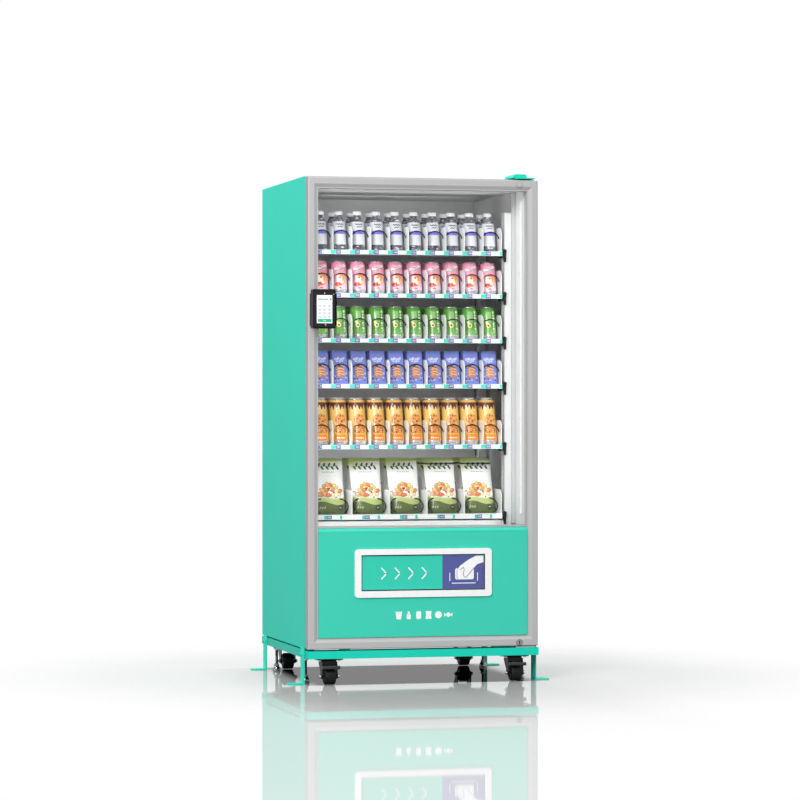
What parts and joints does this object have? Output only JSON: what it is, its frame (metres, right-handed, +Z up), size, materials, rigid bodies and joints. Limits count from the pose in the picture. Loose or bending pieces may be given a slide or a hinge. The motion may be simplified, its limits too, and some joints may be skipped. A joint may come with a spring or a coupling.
{
  "type": "snack vending machine",
  "caption": "Glass-front snack and drink vending machine with a hinged door, spiral trays, push-in delivery flap and touch terminal, standing on casters and floor brackets.",
  "frame": {"origin": "on the floor, under the centre of the machine's bounding box", "axes": "+X to the right of a person facing the door, -Y out of the front, +Z up"},
  "size_m": [1.03, 0.944, 1.948],
  "materials": {
    "teal_paint": "smooth powder coat, soft gloss",
    "teal_plastic": "moulded, soft gloss, part of it printed purple-blue",
    "white_paint": "smooth white powder coat",
    "zinc_steel": "bright zinc plate",
    "black_paint": "black powder coat",
    "black_plastic": "fine moulded grain",
    "grey_plastic": "satin",
    "chrome_steel": "polished",
    "wheel_rubber": "matt tread, smooth sides",
    "frame_grey": "light silver-grey coat on aluminium profile",
    "clear_glass": "clear double glazing",
    "gasket_rubber": "soft magnetic gasket",
    "white_plastic": "smooth gloss",
    "screen_glass": "lit display behind glass",
    "product_print": "printed cans, cartons, bottles and bags standing on the trays"
  },
  "bodies": {
    "cabinet": {"base_frame": "teal_paint", "side_panel_left": "teal_paint", "side_panel_right": "teal_paint", "top_panel": "teal_paint", "back_panel": "teal_paint", "rear_grille": "teal_paint", "floor_panel": "teal_paint", "insulated_liner": "white_paint", "hinge_cover": "teal_paint", "upper_hinge_bracket": "zinc_steel", "lower_hinge_bracket": "zinc_steel", "tray_post_front_left": "white_paint", "tray_post_front_right": "white_paint", "tray_post_rear_left": "white_paint", "tray_post_rear_right": "white_paint", "condensing_unit": "black_paint", "evaporator_unit": "grey_plastic", "control_box": "zinc_steel", "delivery_bin": "grey_plastic", "power_inlet": "black_plastic", "anti_tip_bracket_front_left": "teal_paint", "anti_tip_bracket_rear_left": "teal_paint", "anti_tip_bracket_front_right": "teal_paint", "anti_tip_bracket_rear_right": "teal_paint"},
    "door": {"door_frame": "frame_grey", "door_glass": "clear_glass", "door_gasket": "gasket_rubber", "lower_panel": "teal_paint", "flap_bezel": "white_plastic", "terminal_housing": "black_plastic", "terminal_screen": "screen_glass"},
    "flap": {"delivery_flap": "teal_plastic"},
    "condenser_fan": {"condenser_fan": "black_plastic"},
    "evaporator_fan": {"evaporator_fan": "black_plastic"},
    "tray_1": {"tray_1": "white_paint"},
    "coil_1": {"coil_1": "black_paint"},
    "tray_2": {"tray_2": "white_paint"},
    "coil_2": {"coil_2": "black_paint"},
    "tray_3": {"tray_3": "white_paint"},
    "coil_3": {"coil_3": "black_paint"},
    "tray_4": {"tray_4": "white_paint"},
    "coil_4": {"coil_4": "black_paint"},
    "tray_5": {"tray_5": "white_paint"},
    "coil_5": {"coil_5": "black_paint"},
    "tray_6": {"tray_6": "white_paint"},
    "coil_6": {"coil_6": "black_paint"},
    "fork_front_left": {"caster_fork_front_left": "black_paint"},
    "wheel_front_left": {"caster_wheel_front_left": "wheel_rubber"},
    "foot_front_left": {"levelling_foot_front_left": "chrome_steel"},
    "pedal_left": {"brake_pedal_left": "black_paint"},
    "fork_rear_left": {"caster_fork_rear_left": "black_paint"},
    "wheel_rear_left": {"caster_wheel_rear_left": "wheel_rubber"},
    "foot_rear_left": {"levelling_foot_rear_left": "chrome_steel"},
    "fork_front_right": {"caster_fork_front_right": "black_paint"},
    "wheel_front_right": {"caster_wheel_front_right": "wheel_rubber"},
    "foot_front_right": {"levelling_foot_front_right": "chrome_steel"},
    "pedal_right": {"brake_pedal_right": "black_paint"},
    "fork_rear_right": {"caster_fork_rear_right": "black_paint"},
    "wheel_rear_right": {"caster_wheel_rear_right": "wheel_rubber"},
    "foot_rear_right": {"levelling_foot_rear_right": "chrome_steel"}
  },
  "joints": [
    {"name": "door_hinge", "type": "hinge", "parent": "cabinet", "child": "door", "pos_m": [0.43, -0.366, 1.03], "axis": [0, 0, 1], "range_deg": [0, 120]},
    {"name": "flap_hinge", "type": "hinge", "parent": "door", "child": "flap", "pos_m": [0, -0.375, 0.485], "axis": [1, 0, 0], "range_deg": [0, 75], "stiffness_Nm_per_rad": 0.3, "springref_deg": -5.73},
    {"name": "condenser_fan_spin", "type": "hinge", "parent": "cabinet", "child": "condenser_fan", "pos_m": [0.02, 0.381, 0.3], "axis": [0, 1, 0], "continuous": true},
    {"name": "evaporator_fan_spin", "type": "hinge", "parent": "cabinet", "child": "evaporator_fan", "pos_m": [0, 0.3655, 0.8], "axis": [0, 1, 0], "continuous": true},
    {"name": "tray_1_slide", "type": "slide", "parent": "cabinet", "child": "tray_1", "axis": [0, -1, 0], "range_m": [0, 0.09]},
    {"name": "coil_1_spin", "type": "hinge", "parent": "tray_1", "child": "coil_1", "pos_m": [0.0158, 0.016, 1.7065], "axis": [0, 1, 0], "continuous": true},
    {"name": "tray_2_slide", "type": "slide", "parent": "cabinet", "child": "tray_2", "axis": [0, -1, 0], "range_m": [0, 0.09]},
    {"name": "coil_2_spin", "type": "hinge", "parent": "tray_2", "child": "coil_2", "pos_m": [0.0158, 0.016, 1.5405], "axis": [0, 1, 0], "continuous": true},
    {"name": "tray_3_slide", "type": "slide", "parent": "cabinet", "child": "tray_3", "axis": [0, -1, 0], "range_m": [0, 0.09]},
    {"name": "coil_3_spin", "type": "hinge", "parent": "tray_3", "child": "coil_3", "pos_m": [0.0158, 0.016, 1.367], "axis": [0, 1, 0], "continuous": true},
    {"name": "tray_4_slide", "type": "slide", "parent": "cabinet", "child": "tray_4", "axis": [0, -1, 0], "range_m": [0, 0.09]},
    {"name": "coil_4_spin", "type": "hinge", "parent": "tray_4", "child": "coil_4", "pos_m": [0.0158, 0.016, 1.1915], "axis": [0, 1, 0], "continuous": true},
    {"name": "tray_5_slide", "type": "slide", "parent": "cabinet", "child": "tray_5", "axis": [0, -1, 0], "range_m": [0, 0.09]},
    {"name": "coil_5_spin", "type": "hinge", "parent": "tray_5", "child": "coil_5", "pos_m": [0.0158, 0.016, 0.9575], "axis": [0, 1, 0], "continuous": true},
    {"name": "tray_6_slide", "type": "slide", "parent": "cabinet", "child": "tray_6", "axis": [0, -1, 0], "range_m": [0, 0.09]},
    {"name": "coil_6_spin", "type": "hinge", "parent": "tray_6", "child": "coil_6", "pos_m": [0.0158, 0.016, 0.672], "axis": [0, 1, 0], "continuous": true},
    {"name": "swivel_front_left", "type": "hinge", "parent": "cabinet", "child": "fork_front_left", "pos_m": [-0.366, -0.339, 0.09], "axis": [0, 0, 1], "continuous": true},
    {"name": "wheel_front_left_spin", "type": "hinge", "parent": "fork_front_left", "child": "wheel_front_left", "pos_m": [-0.366, -0.364, 0.033], "axis": [1, 0, 0], "continuous": true},
    {"name": "foot_front_left_screw", "type": "slide", "parent": "cabinet", "child": "foot_front_left", "axis": [0, 0, 1], "range_m": [0, 0.03]},
    {"name": "brake_left", "type": "hinge", "parent": "fork_front_left", "child": "pedal_left", "pos_m": [-0.366, -0.345, 0.0725], "axis": [1, 0, 0], "range_deg": [0, 8]},
    {"name": "swivel_rear_left", "type": "hinge", "parent": "cabinet", "child": "fork_rear_left", "pos_m": [-0.366, 0.416, 0.09], "axis": [0, 0, 1], "continuous": true},
    {"name": "wheel_rear_left_spin", "type": "hinge", "parent": "fork_rear_left", "child": "wheel_rear_left", "pos_m": [-0.366, 0.391, 0.033], "axis": [1, 0, 0], "continuous": true},
    {"name": "foot_rear_left_screw", "type": "slide", "parent": "cabinet", "child": "foot_rear_left", "axis": [0, 0, 1], "range_m": [0, 0.03]},
    {"name": "swivel_front_right", "type": "hinge", "parent": "cabinet", "child": "fork_front_right", "pos_m": [0.366, -0.339, 0.09], "axis": [0, 0, 1], "continuous": true},
    {"name": "wheel_front_right_spin", "type": "hinge", "parent": "fork_front_right", "child": "wheel_front_right", "pos_m": [0.366, -0.364, 0.033], "axis": [1, 0, 0], "continuous": true},
    {"name": "foot_front_right_screw", "type": "slide", "parent": "cabinet", "child": "foot_front_right", "axis": [0, 0, 1], "range_m": [0, 0.03]},
    {"name": "brake_right", "type": "hinge", "parent": "fork_front_right", "child": "pedal_right", "pos_m": [0.366, -0.345, 0.0725], "axis": [1, 0, 0], "range_deg": [0, 8]},
    {"name": "swivel_rear_right", "type": "hinge", "parent": "cabinet", "child": "fork_rear_right", "pos_m": [0.366, 0.416, 0.09], "axis": [0, 0, 1], "continuous": true},
    {"name": "wheel_rear_right_spin", "type": "hinge", "parent": "fork_rear_right", "child": "wheel_rear_right", "pos_m": [0.366, 0.391, 0.033], "axis": [1, 0, 0], "continuous": true},
    {"name": "foot_rear_right_screw", "type": "slide", "parent": "cabinet", "child": "foot_rear_right", "axis": [0, 0, 1], "range_m": [0, 0.03]}
  ]
}
